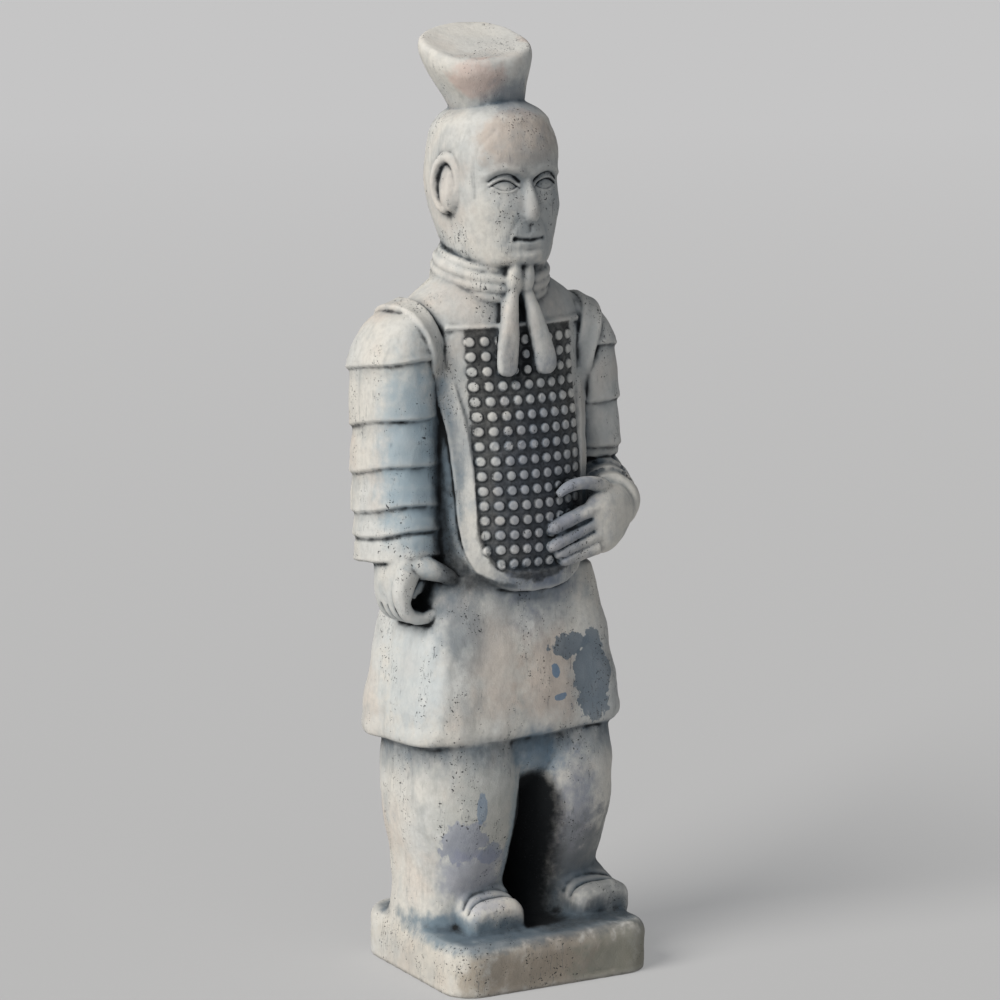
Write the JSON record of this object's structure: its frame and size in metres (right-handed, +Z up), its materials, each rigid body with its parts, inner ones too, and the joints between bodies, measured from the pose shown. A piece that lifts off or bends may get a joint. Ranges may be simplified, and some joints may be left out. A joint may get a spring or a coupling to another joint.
{
  "type": "warrior statue",
  "caption": "Free-standing garden statue of an armoured ancient warrior with a topknot, cast in one piece with its rounded rectangular plinth; decorative.",
  "frame": {"origin": "on the flat underside of the plinth, 2.5 mm in front of its centre, below the middle of the trunk", "axes": "+Z is up and is the longest extent; the figure faces -Y and its right hand is on -X"},
  "size_m": [0.1976, 0.145, 0.6086],
  "materials": {
    "cast_stone": "matt, pale and weathered, with dark wash in the recesses"
  },
  "bodies": {
    "root": {"warrior_statue": "cast_stone"}
  },
  "joints": []
}
